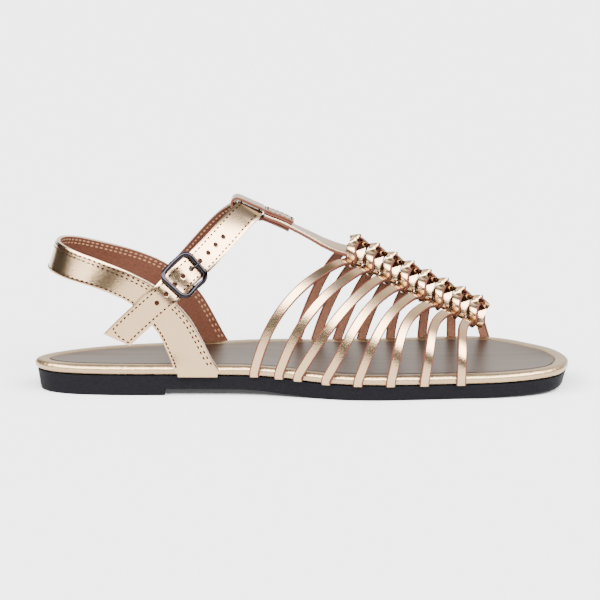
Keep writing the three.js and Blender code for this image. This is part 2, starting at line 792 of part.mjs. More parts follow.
function frameGeometry() {
  const stations = [];
  const straight = { along: frameHalf.along - buckleCorner, across: frameHalf.across - buckleCorner };
  const corners = [[1, 1], [-1, 1], [-1, -1], [1, -1]];
  corners.forEach(([a, w], quarter) => {
    for (let i = 0; i <= 3; i += 1) {
      const angle = (quarter + i / 3) * Math.PI / 2;
      stations.push([
        a * straight.along + buckleCorner * Math.cos(angle),
        w * straight.across + buckleCorner * Math.sin(angle),
      ]);
    }
    if (quarter % 2 === 0) {
      for (const share of [0.82, 0.66, 0.5, 0.34, 0.18]) {
        stations.push([(2 * share - 1) * a * straight.along, w * frameHalf.across]);
      }
    }
  });
  const level = (along) => THREE.MathUtils.lerp(barLevel, endLevel,
    THREE.MathUtils.smoothstep(Math.abs(along), barWire / 2, straight.along));
  const ring = strip(stations.map(([along, across]) => ({
    point: onAnkle(along, across, level(along)),
    face: ankleFrame(buckleAt + along).face,
    width: wire,
    thick: wire,
  })), true);
  const bar = strip([-1, 1].map((hand) => ({
    point: onAnkle(0, hand * frameHalf.across, barLevel),
    face: ankleFrame(buckleAt).face,
    width: barWire,
    thick: barWire,
  })));
  return joined([ring, bar]);
}

// Strip bent in the strap's own side view: each row is a place along the strap and out from it
function bentStrip(rows, width, thick) {
  const side = ankleFrame(buckleAt).side;
  const points = rows.map(([along, out]) => onAnkle(along, 0, out));
  return strip(points.map((point, i) => {
    const along = points[Math.min(i + 1, points.length - 1)].clone().sub(points[Math.max(i - 1, 0)]);
    return { point, face: new THREE.Vector3().crossVectors(side, along), width, thick };
  }));
}

const ringPoint = (degrees) => {
  const angle = THREE.MathUtils.degToRad(degrees);
  return [ringRadius * Math.cos(angle), barLevel + ringRadius * Math.sin(angle)];
};

function prongGeometry() {
  const ring = [130, 165, 200, 235, 270, 305, 340].map(ringPoint);
  const over = endLevel + wire / 2 + clearance + prongThick / 2;
  return bentStrip([
    ...ring,
    [prongHole - 1.4 * holeRadius, barLevel + prongThick / 8],
    [prongHole - 0.1 * holeRadius, barLevel + ringRadius],
    [prongHole + 0.6 * holeRadius, over - 1.25 * prongThick],
    [prongHole + 1.8 * holeRadius, over],
    [frameHalf.along + wire / 2, over],
  ], prongWidth, prongThick);
}

// Tab: one strip folded round the centre bar, with a slot for the prong, fixed to the heel strap
function tabGeometry() {
  const outer = -(ankleThick / 2 + 2 * clearance + tabThick / 2);
  const inner = outer - tabThick - clearance;
  const leg = [1, 0.84, 0.68, 0.53, 0.4].map((share) => share * tabLength);
  const fold = bentStrip([
    ...leg.map((along) => [-along, outer]),
    [-2.2 * ringRadius, outer / 2],
    ...[90, 60, 30, 0, -30, -60, -90].map(ringPoint),
    [-2.6 * ringRadius, inner],
    ...leg.map((along) => [-along, inner]).reverse(),
  ], tabWidth, tabThick);
  const slot = new THREE.BoxGeometry(1, 1, 1);
  slot.scale(prongWidth + 2 * clearance, 8 * ringRadius, 8 * ringRadius);
  const { along, side, face } = ankleFrame(buckleAt);
  slot.applyMatrix4(new THREE.Matrix4().makeBasis(side, along, face));
  const centre = onAnkle(ringRadius * 1.5, 0, barLevel);
  slot.translate(centre.x, centre.y, centre.z);
  return toGeometry(toSolid(fold).subtract(toSolid(slot)));
}

function piece(name, geometry, colour, roughness, metalness) {
  const material = new THREE.MeshStandardMaterial({ color: colour, roughness, metalness });
  const mesh = new THREE.Mesh(geometry, material);
  mesh.name = name;
  return mesh;
}

const sandal = new THREE.Group();
sandal.add(
  piece('outsole', outsoleGeometry(), charcoal, 0.85, 0),
  piece('footbed', footbedGeometry(), gold, 0.4, 0.8),
  piece('insole', insoleGeometry(), taupe, 0.55, 0.4),
  piece('upper', upperGeometry(), gold, 0.3, 0.85),
  piece('tbar_loop', loopGeometry(), gold, 0.3, 0.85),
  piece('heel_strap', heelGeometry(), gold, 0.35, 0.8),
  piece('ankle_strap', ankleGeometry(), gold, 0.35, 0.8),
  piece('buckle_tab', tabGeometry(), gold, 0.35, 0.8),
  piece('buckle_frame', frameGeometry(), gunmetal, 0.3, 1),
  piece('buckle_prong', prongGeometry(), gunmetal, 0.3, 1),
);

// The origin is under the middle of the shoe, on the floor
const bounds = new THREE.Box3().setFromObject(sandal, true);
const middle = bounds.getCenter(new THREE.Vector3());
sandal.position.set(-middle.x, -middle.y, -bounds.min.z);
sandal.updateMatrixWorld(true);

export default sandal;
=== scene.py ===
# A flat gladiator sandal of champagne-gold leather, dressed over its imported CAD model.
import bisect
import math
import bpy
from mathutils import Matrix, Vector


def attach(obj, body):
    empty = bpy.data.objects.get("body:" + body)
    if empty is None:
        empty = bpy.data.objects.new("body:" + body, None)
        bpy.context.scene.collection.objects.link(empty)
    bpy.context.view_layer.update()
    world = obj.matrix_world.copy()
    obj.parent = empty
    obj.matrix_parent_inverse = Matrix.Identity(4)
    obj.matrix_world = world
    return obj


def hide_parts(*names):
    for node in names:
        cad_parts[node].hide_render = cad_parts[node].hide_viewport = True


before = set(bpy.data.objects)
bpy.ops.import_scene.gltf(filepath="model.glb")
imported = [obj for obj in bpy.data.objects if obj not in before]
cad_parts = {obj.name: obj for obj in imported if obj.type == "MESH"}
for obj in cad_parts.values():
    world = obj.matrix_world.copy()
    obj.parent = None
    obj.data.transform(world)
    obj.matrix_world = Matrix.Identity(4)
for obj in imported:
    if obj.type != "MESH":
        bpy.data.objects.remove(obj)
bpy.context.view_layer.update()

bpy.ops.object.select_all(action="DESELECT")

# The studio: a pale lit floor without a horizon, and a sky that is dark low down and overhead with
# a broad white band between, which shows in the leather. A long lens looks at the outer side.
view_down = math.radians(12.5)
view_far = 1.6
view_point = Vector((-0.00114, -0.0006, 0))
camera_tilt = math.radians(90 - 11.14)
towards_camera = Vector((0, -math.cos(view_down), math.sin(view_down)))
bpy.ops.object.camera_add(location=view_point + view_far * towards_camera, rotation=(camera_tilt, 0, 0))
camera = bpy.context.object
camera.data.sensor_width = 36
camera.data.lens = 203.5
camera.data.clip_end = 60
bpy.context.scene.camera = camera

bpy.ops.mesh.primitive_plane_add(size=30, location=(0, 6, 0))
floor = bpy.context.object
floor.name = "floor"
paper = bpy.data.materials.new("pale_paper")
paper.use_nodes = True
paper_face = paper.node_tree.nodes["Principled BSDF"]
paper_face.inputs["Base Color"].default_value = (0.73, 0.73, 0.73, 1)
paper_face.inputs["Roughness"].default_value = 0.9
paper_face.inputs["Specular IOR Level"].default_value = 0.1
paper_face.inputs["Emission Color"].default_value = (1, 1, 1, 1)
paper_face.inputs["Emission Strength"].default_value = 0.1
floor.data.materials.append(paper)

sky = bpy.data.worlds.new("soft_sky")
bpy.context.scene.world = sky
sky.use_nodes = True
sky_nodes = sky.node_tree.nodes
sky_links = sky.node_tree.links
look = sky_nodes.new("ShaderNodeTexCoord")
split = sky_nodes.new("ShaderNodeSeparateXYZ")
sky_links.new(look.outputs["Generated"], split.inputs["Vector"])
neutral = (1, 1, 1)
cool = (0.82, 0.97, 1.35)
lit_above = 0.2


def sky_bands(stops, dark_tint):
    """Bands of light by their height in the sky; the dark ones are tinted"""
    bands = sky_nodes.new("ShaderNodeValToRGB")
    sky_links.new(split.outputs["Z"], bands.inputs["Fac"])
    for height, _ in stops[1:-1]:
        bands.color_ramp.elements.new(height)
    for band, (_, shade) in zip(bands.color_ramp.elements, stops):
        red, green, blue = neutral if shade > lit_above else dark_tint
        band.color = (red * shade, green * shade, blue * shade, 1)
    return bands.outputs["Color"]


def passing(value, start, end, low=0.0, high=1.0):
    """Goes from low to high as the value goes from start to end"""
    node = sky_nodes.new("ShaderNodeMapRange")
    for socket, number in (("From Min", start), ("From Max", end), ("To Min", low), ("To Max", high)):
        node.inputs[socket].default_value = number
    sky_links.new(value, node.inputs["Value"])
    return node


def blended(kind, first, second, share=None):
    """Two lights made one, the second in full or by a share"""
    node = sky_nodes.new("ShaderNodeMix")
    node.data_type = "RGBA"
    node.blend_type = kind
    node.inputs["Factor"].default_value = 1
    if share is not None:
        sky_links.new(share, node.inputs["Factor"])
    sky_links.new(first, node.inputs[6])
    sky_links.new(second, node.inputs[7])
    return node.outputs[2]


front = sky_bands([
    (0.0, 0.01), (0.06, 0.004), (0.31, 0.004), (0.37, 0.05), (0.44, 1.0), (0.74, 1.0), (0.84, 0.30),
    (0.92, 0.05), (1.0, 0.015),
], cool)
back = sky_bands([
    (0.0, 0.02), (0.30, 0.045), (0.50, 0.085), (0.84, 0.075), (0.93, 0.02), (1.0, 0.015),
], neutral)
heelward = passing(split.outputs["X"], -0.6, -0.35, low=0.08)
backward = passing(split.outputs["Y"], -0.3, 0.15)
dimmed_back = blended("MULTIPLY", back, heelward.outputs["Result"])
both = blended("MIX", front, dimmed_back, share=backward.outputs["Result"])
glow = passing(split.outputs["Y"], 0.7, 0.95, high=0.045)
low_glow = passing(split.outputs["Z"], 0.5, 0.3)
sky_links.new(glow.outputs["Result"], low_glow.inputs["To Max"])
total = blended("ADD", both, low_glow.outputs["Result"])
sky_links.new(total, sky_nodes["Background"].inputs["Color"])
sky_nodes["Background"].inputs["Strength"].default_value = 22

# Outsole: one moulding of charcoal rubber, flat under the heel and the ball, hollowed under the
# arch with a step behind it. Its wall leans in towards the floor.
shoe_length = 249
ball_width = 88
box_middle = 7.046
to_frame = Matrix.Scale(0.001, 4) @ Matrix.Translation((-shoe_length / 2, -box_middle, 0))
heel_tip = -0.105
toe_tip = -0.023
outline = [
    (0.016, -0.205, -0.005), (0.044, -0.264, 0.070), (0.079, -0.298, 0.138), (0.131, -0.318, 0.208),
    (0.190, -0.325, 0.260), (0.246, -0.325, 0.295), (0.317, -0.325, 0.335), (0.409, -0.335, 0.398),
    (0.500, -0.386, 0.477), (0.575, -0.441, 0.523), (0.635, -0.453, 0.544), (0.706, -0.439, 0.574),
    (0.782, -0.416, 0.609), (0.845, -0.402, 0.602), (0.897, -0.375, 0.517), (0.944, -0.325, 0.364),
    (0.976, -0.252, 0.233), (0.992, -0.162, 0.114),
]
sole_top_rows = [
    (0, 9.8), (0.24, 9.8), (0.37, 9.6), (0.41, 9.5), (0.48, 8.62), (0.52, 7.74), (0.585, 7.3),
    (0.71, 7.1), (0.85, 7.2), (1, 8.4),
]


def row_value(rows, along):
    """A smooth value between the rows of a table"""
    last = len(rows) - 1
    i = 0
    while i < last - 1 and along > rows[i + 1][0]:
        i += 1

    def slope(k):
        a, b = rows[max(0, k - 1)], rows[min(last, k + 1)]
        return (b[1] - a[1]) / (b[0] - a[0])

    (x0, y0), (x1, y1) = rows[i], rows[i + 1]
    step = x1 - x0
    t = min(1, max(0, (along - x0) / step))
    rise = 3 * t * t - 2 * t ** 3
    bend = step * (slope(i) * t * (1 - t) ** 2 - slope(i + 1) * t * t * (1 - t))
    return y0 * (1 - rise) + y1 * rise + bend


def curve_through(points, closed=False):
    """A smooth line through the points: its point and direction at a share of the way"""
    count = len(points)

    def corner(k):
        if closed:
            return points[k % count]
        if k < 0:
            return 2 * points[0] - points[1]
        if k >= count:
            return 2 * points[-1] - points[-2]
        return points[k]

    def at(share):
        place = share * (count if closed else count - 1)
        i = min(int(place), count - 1 if closed else count - 2)
        t = place - i
        p0, p1, p2, p3 = (corner(i + k) for k in (-1, 0, 1, 2))
        d0 = max((p1 - p0).length ** 0.5, 1e-6)
        d1 = max((p2 - p1).length ** 0.5, 1e-6)
        d2 = max((p3 - p2).length ** 0.5, 1e-6)
        m1 = ((p1 - p0) / d0 - (p2 - p0) / (d0 + d1) + (p2 - p1) / d1) * d1
        m2 = ((p2 - p1) / d1 - (p3 - p1) / (d1 + d2) + (p3 - p2) / d2) * d1
        c2 = -3 * p1 + 3 * p2 - 2 * m1 - m2
        c3 = 2 * p1 - 2 * p2 + m1 + m2
        return p1 + m1 * t + c2 * t * t + c3 * t ** 3, (m1 + 2 * c2 * t + 3 * c3 * t * t).normalized()

    return at


rim = curve_through(
    [Vector((0, heel_tip * ball_width, 0))]
    + [Vector((x * shoe_length, near * ball_width, 0)) for x, near, far in outline]
    + [Vector((shoe_length, toe_tip * ball_width, 0))]
    + [Vector((x * shoe_length, far * ball_width, 0)) for x, near, far in reversed(outline)],
    closed=True,
)


def edge_at(side, share):
    """Point of the shoe's outline and the way out from it: side -1 outer, 1 inner"""
    point, along = rim((share / 2 if side < 0 else 1 - share / 2) % 1)
    return point, Vector((along.y, -along.x, 0)).normalized()


def sole_top(x):
    return row_value(sole_top_rows, x / shoe_length)


toe_spring = 1.9
spring_start = 0.734


def sole_bottom(x):
    lift = max(0, (x / shoe_length - spring_start) / (1 - spring_start))
    return toe_spring * lift * lift


def shaped_grid(name, columns, rows, place):
    """A flat grid whose points are moved to where place puts them"""
    bpy.ops.mesh.primitive_grid_add(x_subdivisions=columns, y_subdivisions=rows, size=2)
    piece = bpy.context.object
    piece.name = name
    for vertex in piece.data.vertices:
        vertex.co = place((vertex.co.x + 1) / 2, (vertex.co.y + 1) / 2)
    return piece


def around_shoe(rings):
    """Places a grid round the outline: across the grid it runs from ring to ring"""
    def place(u, w):
        ring = rings[min(len(rings) - 1, round(w * (len(rings) - 1)))]
        point, along = rim(u % 1)
        out = Vector((along.y, -along.x, 0)).normalized()
        placed = point - out * ring[0]
        placed.z = ring[1](placed.x)
        return placed
    return place


def edit(piece):
    """Opens a piece in edit mode with all its points selected"""
    bpy.ops.object.select_all(action="DESELECT")
    piece.select_set(True)
    bpy.context.view_layer.objects.active = piece
    bpy.ops.object.mode_set(mode="EDIT")
    bpy.ops.mesh.select_mode(type="VERT")
    bpy.ops.mesh.select_all(action="SELECT")


def close_up(piece, fill=False):
    """Welds the grid's seam, closes open ends and turns the faces outwards"""
    edit(piece)
    bpy.ops.mesh.remove_doubles(threshold=0.005)
    if fill:
        bpy.ops.mesh.select_all(action="DESELECT")
        bpy.ops.mesh.select_non_manifold()
        bpy.ops.mesh.edge_face_add()
        bpy.ops.mesh.select_all(action="SELECT")
    bpy.ops.mesh.normals_make_consistent(inside=False)
    bpy.ops.object.mode_set(mode="OBJECT")


def finish_piece(piece, slot, *nodes, smooth=35):
    """Puts a piece made in millimetres from the heel into the shoe's frame and hands it over"""
    piece.data.transform(to_frame)
    bpy.ops.object.select_all(action="DESELECT")
    piece.select_set(True)
    bpy.context.view_layer.objects.active = piece
    bpy.ops.object.shade_smooth_by_angle(angle=math.radians(smooth))
    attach(piece, "root")
    if nodes:
        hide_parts(*nodes)
    return piece


def modify(piece, kind, **settings):
    """Adds a modifier with its settings and applies it"""
    modifier = piece.modifiers.new(kind.lower(), kind)
    for key, value in settings.items():
        setattr(modifier, key, value)
    bpy.context.view_layer.objects.active = piece
    bpy.ops.object.modifier_apply(modifier=modifier.name)


def new_material(name, colour, roughness, metallic=0.0, shine=0.5):
    """A leather, rubber or metal before its grain is added"""
    material = bpy.data.materials.new(name)
    material.use_nodes = True
    face = material.node_tree.nodes["Principled BSDF"]
    face.inputs["Base Color"].default_value = (*colour, 1)
    face.inputs["Roughness"].default_value = roughness
    face.inputs["Metallic"].default_value = metallic
    face.inputs["Specular IOR Level"].default_value = shine
    return material


def add_grain(material, scale, depth, stretch=(1, 1, 1), kind="ShaderNodeTexNoise", detail=4):
    """Bump of a given scale, in cells to the metre, and depth, in metres"""
    nodes, links = material.node_tree.nodes, material.node_tree.links
    where = nodes.new("ShaderNodeTexCoord")
    turn = nodes.new("ShaderNodeMapping")
    turn.inputs["Scale"].default_value = stretch
    grain = nodes.new(kind)
    grain.inputs["Scale"].default_value = scale
    if kind == "ShaderNodeTexNoise":
        grain.inputs["Detail"].default_value = detail
    bump = nodes.new("ShaderNodeBump")
    bump.inputs["Distance"].default_value = depth
    bump.inputs["Strength"].default_value = 1.0
    links.new(where.outputs["Object"], turn.inputs["Vector"])
    links.new(turn.outputs["Vector"], grain.inputs["Vector"])
    links.new(grain.outputs[0], bump.inputs["Height"])
    face = nodes["Principled BSDF"]
    under = face.inputs["Normal"]
    if under.is_linked:
        links.new(under.links[0].from_socket, bump.inputs["Normal"])
    links.new(bump.outputs["Normal"], face.inputs["Normal"])
    return grain


def tint(material, socket, grain, low, high, at=(0.3, 0.7)):
    """Lets a pattern vary the colour or the roughness of a material"""
    nodes, links = material.node_tree.nodes, material.node_tree.links
    ramp = nodes.new("ShaderNodeValToRGB")
    for stop, place, shade in zip(ramp.color_ramp.elements, at, (low, high)):
        stop.position = place
        stop.color = (*shade, 1) if isinstance(shade, tuple) else (shade, shade, shade, 1)
    links.new(grain.outputs[0], ramp.inputs["Fac"])
    links.new(ramp.outputs["Color"], nodes["Principled BSDF"].inputs[socket])


rubber = new_material("charcoal_rubber", (0.0038, 0.0036, 0.0049), 0.6, shine=0.06)
speckle = add_grain(rubber, 900, 0.00005)
tint(rubber, "Base Color", speckle, (0.0029, 0.0027, 0.0037), (0.0047, 0.0045, 0.0059))
add_grain(rubber, 160, 0.00012)

sole_rings = [
    (3.6, sole_bottom),
    (3.0, lambda x: sole_bottom(x) + 0.15),
    (2.6, lambda x: sole_bottom(x) + 0.8),
    (2.3, lambda x: sole_bottom(x) + 2.0),
    (1.25, lambda x: sole_top(x) - 0.7),
    (1.1, lambda x: sole_top(x) - 0.2),
    (1.4, sole_top),
]
sole = shaped_grid("rubber_sole", 320, len(sole_rings) - 1, around_shoe(sole_rings))
close_up(sole, fill=True)

# the hollow under the arch is cut with a wedge that stands across the shoe
wedge_wide = 160
arch = [
    (60.8, -3), (60.8, 3.2), (80, 3.2), (95.6, 3.15), (106, 2.6), (117, 1.4), (128, 0.45), (145.2, -0.02),
    (145.2, -3),
]
bpy.ops.mesh.primitive_circle_add(vertices=len(arch), radius=1, fill_type="NGON")
wedge = bpy.context.object
for vertex, (x, z) in zip(wedge.data.vertices, arch):
    vertex.co = (x, -wedge_wide / 2, z)
edit(wedge)
bpy.ops.mesh.extrude_region_move(TRANSFORM_OT_translate={"value": (0, wedge_wide, 0)})
bpy.ops.mesh.select_all(action="SELECT")
bpy.ops.mesh.normals_make_consistent(inside=False)
bpy.ops.object.mode_set(mode="OBJECT")
modify(sole, "BOOLEAN", object=wedge, operation="DIFFERENCE", solver="EXACT")
bpy.data.objects.remove(wedge)
sole.data.materials.append(rubber)
finish_piece(sole, "sole_rubber", "outsole")

# Footbed: a soft pad bound in smooth metallic leather that is pulled round its rolled edge and
# puckers a little there. The sock, of brushed leather, is glued into a shallow recess inside the
# border.
bed_thick = 4.6
roll = bed_thick / 2
gap = 0.3


def bed_base(x):
    return sole_top(x) + gap


bed_rings = []
for degrees in range(-85, 96, 12):
    angle = math.radians(degrees)
    inset = roll * (1 - math.cos(angle))
    bed_rings.append((inset, lambda x, s=math.sin(angle): bed_base(x) + roll * (1 + s)))
recess = [(3.3, 0.03), (4.4, 0.12), (5.4, 0.27), (6.1, 0.48), (6.4, 0.75), (6.55, 1.4)]
for inset, drop in recess:
    bed_rings.append((inset, lambda x, d=drop: bed_base(x) + bed_thick - d))
bed = shaped_grid("bound_footbed", 360, len(bed_rings) - 1, around_shoe(bed_rings))
close_up(bed, fill=True)
edge_gold = new_material("smooth_gold_leather", (0.42, 0.29, 0.16), 0.33, 1.0)
add_grain(edge_gold, 700, 0.00003)
add_grain(edge_gold, 430, 0.0004, stretch=(1.0, 1.0, 0.08), detail=2)
add_grain(edge_gold, 60, 0.0006, stretch=(1.0, 0.35, 0.25), detail=2)
bed.data.materials.append(edge_gold)
finish_piece(bed, "edge_leather", "footbed")

sock_inset = 6.75
sock_lift = -0.22
sock_thick = 1.2
sock_dish = 0.9
full_dish_from = 35
sock_turn = 0.35
turn_wide = 0.8


def sock_place(share, across):
    """The sock's top: from the outer edge across to the inner one, dished in the middle"""
    ends = []
    for side in (-1, 1):
        point, out = edge_at(side, share)
        ends.append(point - out * sock_inset)
    placed = ends[0].lerp(ends[1], across)
    reach = (ends[1] - ends[0]).length
    dish = sock_dish * (1 - abs(2 * across - 1) ** 2.2) * min(1, reach / full_dish_from)
    turned = sock_turn * max(0, 1 - min(across, 1 - across) * reach / turn_wide)
    placed.z = bed_base(placed.x) + bed_thick + sock_lift - dish - turned
    return placed


sock = shaped_grid("leather_sock", 170, 64, sock_place)
modify(sock, "SOLIDIFY", thickness=sock_thick, offset=-1)
close_up(sock)
edit(sock)
bpy.ops.mesh.dissolve_degenerate(threshold=0.02)
bpy.ops.object.mode_set(mode="OBJECT")
sock_leather = new_material("brushed_taupe_leather", (0.19, 0.128, 0.088), 0.38, 1.0)
streaks = add_grain(sock_leather, 90, 0.00014, stretch=(0.12, 1.6, 1), detail=5)
tint(sock_leather, "Base Color", streaks, (0.094, 0.059, 0.036), (0.156, 0.102, 0.064), at=(0.25, 0.75))
sock.data.materials.append(sock_leather)
finish_piece(sock, "sock_leather", "insole")

# Side straps: sixteen narrow strips of gold leather on a brown lining, lasted in under the
# footbed's edge and arched over the foot to their knots on the bar. Their lining is painted lighter
# than the other straps' brown lining, for the light bounced up onto its underside.
strap_wide = 4.5
strap_thick = 1.5
ankle_height = 87
spine_y = 0.034 * ball_width
spine_rows = [
    (0.360, 1.010), (0.401, 0.959), (0.430, 0.919), (0.460, 0.885), (0.490, 0.842), (0.516, 0.804),
    (0.540, 0.768), (0.564, 0.739), (0.595, 0.710), (0.710, 0.544), (0.826, 0.375), (0.870, 0.311),
]
spine = curve_through([Vector((x * shoe_length, spine_y, z * ankle_height)) for x, z in spine_rows])
side_straps = {
    -1: [(0.411, 2.6, 0.30, 3), (0.457, 2.6, 0.40, 3), (0.492, 2.7, 0.60, 3), (0.544, 2.6, 0.60, 5),
         (0.602, 2.9, 0.45, 4), (0.662, 2.9, 0.30, 6), (0.724, 3.0, 0.30, 9), (0.792, 3.1, 0.10, 12)],
    1: [(0.488, 2.4, 0.70, 3), (0.525, 2.5, 0.50, 2), (0.566, 2.7, 0.60, 2), (0.613, 2.5, 0.50, 2),
        (0.671, 2.6, 0.10, 2), (0.733, 2.9, 0.20, 2), (0.790, 3.0, 0.30, 6), (0.855, 3.1, 0.80, 3)],
}


def make_track(stations):
    """A line that a strap is laid along: its length, and point, side and face at a distance"""
    far = [0.0]
    for (p, _, _), (q, _, _) in zip(stations, stations[1:]):
        far.append(far[-1] + (q - p).length)

    def at(distance):
        i = min(max(bisect.bisect_right(far, distance) - 1, 0), len(far) - 2)
        t = (distance - far[i]) / max(far[i + 1] - far[i], 1e-9)
        a, b = stations[i], stations[i + 1]
        return a[0].lerp(b[0], t), a[1].lerp(b[1], t), a[2].lerp(b[2], t)

    return far[-1], at


spine_steps = 600
spine_stations = []
for i in range(spine_steps + 1):
    spine_stations.append((*spine(i / spine_steps), Vector()))
spine_long, spine_at = make_track(spine_stations)


def spine_distance(x):
    low, high = 0.0, spine_long
    for _ in range(30):
        middle = (low + high) / 2
        if spine_at(middle)[0].x < x:
            low = middle
        else:
            high = middle
    return low


knot_pitch = 9.05
knot_start = spine_distance(0.585 * shoe_length)
strap_centre = spine_distance(0.401 * shoe_length)
roll_over = math.radians(9)
roll_long = 3 * knot_pitch


def spine_frame(distance):
    """Point of the bar, the way across it and the way up from it; it rolls over with the knots"""
    point, along, _ = spine_at(distance)
    t = min(1, max(0, (distance - knot_start + roll_long) / roll_long))
    turn = Matrix.Rotation(roll_over * (3 * t * t - 2 * t ** 3), 3, along)
    level = Vector((0, 1, 0))
    return point, turn @ level, turn @ along.cross(level)


def on_spine(distance, across, rise):
    point, side, face = spine_frame(distance)
    return point + side * across + face * rise


def edge_at_x(side, x):
    low, high = 0.0, 1.0
    for _ in range(30):
        middle = (low + high) / 2
        if edge_at(side, middle)[0].x < x:
            low = middle
        else:
            high = middle
    return edge_at(side, low)


def beside_edge(edge, angle, thick):
    """Middle of a strap of that thickness where it lies against the rolled edge"""
    point, out = edge
    centre = point - out * roll
    centre.z = bed_base(point.x) + roll
    reach = roll + gap + thick / 2
    return centre + out * reach * math.cos(angle) + Vector((0, 0, reach * math.sin(angle)))


def with_sides(points, faces):
    """Stations with the width square to the line and to the face"""
    stations = []
    for i, (point, face) in enumerate(zip(points, faces)):
        along = (points[min(i + 1, len(points) - 1)] - points[max(i - 1, 0)]).normalized()
        face = (face - along * face.dot(along)).normalized()
        stations.append((point, along.cross(face), face))
    return stations


def smooth_step(value, low, high):
    t = min(1, max(0, (value - low) / (high - low)))
    return t * t * (3 - 2 * t)


lasted_under = (-40, -34, -28, -21, -14, -7)
off_bar = 2.75
bead_dip = 2.3


def side_strap_track(side, k):
    """From under the footbed's edge up over the foot, and down a little under the strap's bead"""
    start, power, lean, curl = side_straps[side][k]
    edge = edge_at_x(side, start * shoe_length)
    foot = beside_edge(edge, 0, strap_thick)
    knot = knot_start + (k + 0.25) * knot_pitch
    top = on_spine(knot, side * off_bar, 0)
    slope = spine_frame(knot)[2]
    points, faces = [], []
    for degrees in lasted_under:
        angle = math.radians(degrees)
        points.append(beside_edge(edge, angle, strap_thick))
        faces.append(edge[1] * math.cos(angle) + Vector((0, 0, math.sin(angle))))
    steps = 34
    for i in range(steps + 1):
        turn = i / steps * math.pi / 2
        c, s = max(0.0, math.cos(turn)), math.sin(turn)
        radius = (c ** power + s ** power) ** (-1 / power)
        x = foot.x + (top.x - foot.x) * (lean * s + (1 - lean) * s ** curl)
        base = edge_at_x(side, x)
        hug = beside_edge(base, 0, strap_thick)
        y = top.y + (hug.y - top.y) * c * radius
        z = foot.z + (top.z - foot.z) * s * radius
        points.append(Vector((x, y, z)) - slope * bead_dip * smooth_step(i / steps, 0.74, 0.93))
        lift = s ** (power - 1) / (top.z - foot.z)
        face = base[1] * (c ** (power - 1) / abs(top.y - foot.y))
        faces.append(face + Vector((slope.x / slope.z * lift, 0, lift)))
    return make_track(with_sides(points, faces))


def lay(piece, track, start=0.0):
    """Bends a flat piece along a track: x runs along it, y across it and z out from it. Where the
    way across is the left-handed one, the faces are turned over."""
    long, at = track
    here, side, face = at(start)
    left_handed = (at(start + 1)[0] - here).dot(side.cross(face)) < 0
    for vertex in piece.data.vertices:
        x, y, z = vertex.co
        point, side, face = at(start + x)
        vertex.co = point + side * y + face * z
    if left_handed:
        piece.data.flip_normals()
    return piece


def flat_strap(name, long, wide, thick, materials, columns, rows=4, crown=0.0, edge_round=0.22,
               skew=0.0, holes=()):
    """A strap lying flat: outer leather, lining and raw edge, with softened edges. Its width may
    be a number or a function of the place along it, and a hole goes through it or stops short. A
    hole's walls take the brown lining, and so does the floor of one that stops short: painted shade
    for the dark seen through a hole."""
    def place(u, w):
        x = u * long
        y = (w - 0.5) * (wide(x) if callable(wide) else wide)
        return Vector((x + skew * y * max(0, 1 - x / 6), y, crown * (1 - (2 * w - 1) ** 2)))
    strap = shaped_grid(name, columns, rows, place)
    for material in materials:
        strap.data.materials.append(material)
    modify(strap, "SOLIDIFY", thickness=thick, offset=0, material_offset=1, material_offset_rim=2)
    for x, radius, through in holes:
        bottom = -1.5 * thick if through else -0.3 * thick
        bpy.ops.mesh.primitive_cylinder_add(
            vertices=20, radius=radius, depth=3 * thick, location=(x, 0, bottom + 1.5 * thick))
        punch = bpy.context.object
        for material in materials:
            punch.data.materials.append(material)
        # the cutter's faces take the brown lining: brown hole walls, and where a hole stops short a brown
        # floor, painted shade for the dark behind the strap
        for polygon in punch.data.polygons:
            polygon.material_index = 1
        modify(strap, "BOOLEAN", object=punch, operation="DIFFERENCE", solver="EXACT")
        bpy.data.objects.remove(punch)
    modify(strap, "BEVEL", width=edge_round, segments=2, limit_method="ANGLE",
           angle_limit=math.radians(50))
    return strap


def join(pieces, name):
    """Makes one piece of several"""
    bpy.ops.object.select_all(action="DESELECT")
    for piece in pieces:
        piece.select_set(True)
    bpy.context.view_layer.objects.active = pieces[0]
    bpy.ops.object.join()
    pieces[0].name = name
    return pieces[0]


gold = new_material("champagne_gold_leather", (0.50, 0.335, 0.185), 0.18, 1.0)
add_grain(gold, 2400, 0.00002, kind="ShaderNodeTexVoronoi")
add_grain(gold, 1500, 0.00002)
lining = new_material("brown_lining", (0.066, 0.0235, 0.0135), 0.7, shine=0.1)
nap = add_grain(lining, 800, 0.00008)
tint(lining, "Base Color", nap, (0.050, 0.0175, 0.0098), (0.070, 0.0245, 0.0138))
raw_edge = new_material("raw_edge", (0.072, 0.024, 0.015), 0.7, shine=0.1)
add_grain(raw_edge, 1200, 0.00008)
# a light cream for the edges of the heel strap, ankle strap and bar: edge paint, and a painted highlight
# along those edges
cream_edge_highlight = new_material("cream_edge_paint_and_highlight", (0.70, 0.52, 0.36), 0.3, 0.9)
leathers = [gold, lining, raw_edge]
# the side straps' lining: the brown lining painted lighter, a painted bounce of light from the footbed and
# floor onto the straps' undersides
bounce_lit_lining = new_material("lining_painted_lighter_for_bounce", (0.18, 0.083, 0.052), 0.7, shine=0.1)
nap = add_grain(bounce_lit_lining, 800, 0.00008)
tint(bounce_lit_lining, "Base Color", nap, (0.130, 0.059, 0.037), (0.170, 0.079, 0.050))

edge_seen = 0.46
straps = []
for side in (-1, 1):
    for k in range(8):
        track = side_strap_track(side, k)
        strap = flat_strap("strap", track[0], strap_wide, strap_thick, [gold, bounce_lit_lining, raw_edge], 48,
                           rows=8, edge_round=0.28)
        for polygon in strap.data.polygons:
            if abs(polygon.center.y) > strap_wide / 2 - edge_seen:
                polygon.material_index = 2
        straps.append(lay(strap, track))
finish_piece(join(straps, "side_straps"), "strap_leather", "upper")
